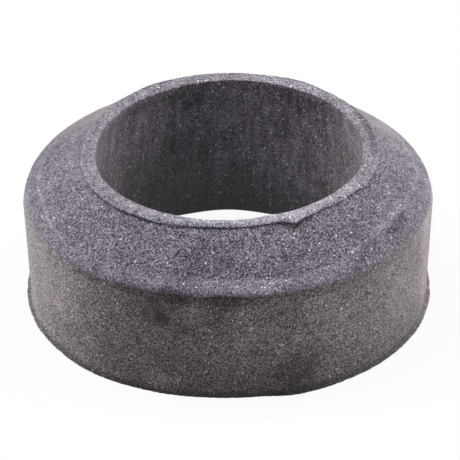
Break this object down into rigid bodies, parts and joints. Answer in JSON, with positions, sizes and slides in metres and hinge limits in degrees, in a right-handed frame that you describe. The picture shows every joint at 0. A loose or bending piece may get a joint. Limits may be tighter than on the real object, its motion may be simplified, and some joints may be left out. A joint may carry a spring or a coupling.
{
  "type": "tank to bowl gasket",
  "caption": "Tapered sponge-rubber ring that seals a toilet tank's outlet to the bowl's inlet: flat side to the tank, sloping nose into the bowl.",
  "frame": {"origin": "on the ring's axis, in the plane of the flat base that meets the tank", "axes": "+Z along the ring's axis, from the flat base towards the nose that seats in the bowl; the picture looks along +Y and down"},
  "size_m": [0.0888, 0.0882, 0.0353],
  "materials": {
    "sponge_rubber": "matt moulded skin with a fine sandy grain, lighter on the rough sloping nose and browner on the smooth wall"
  },
  "bodies": {
    "root": {"gasket": "sponge_rubber"}
  },
  "joints": []
}
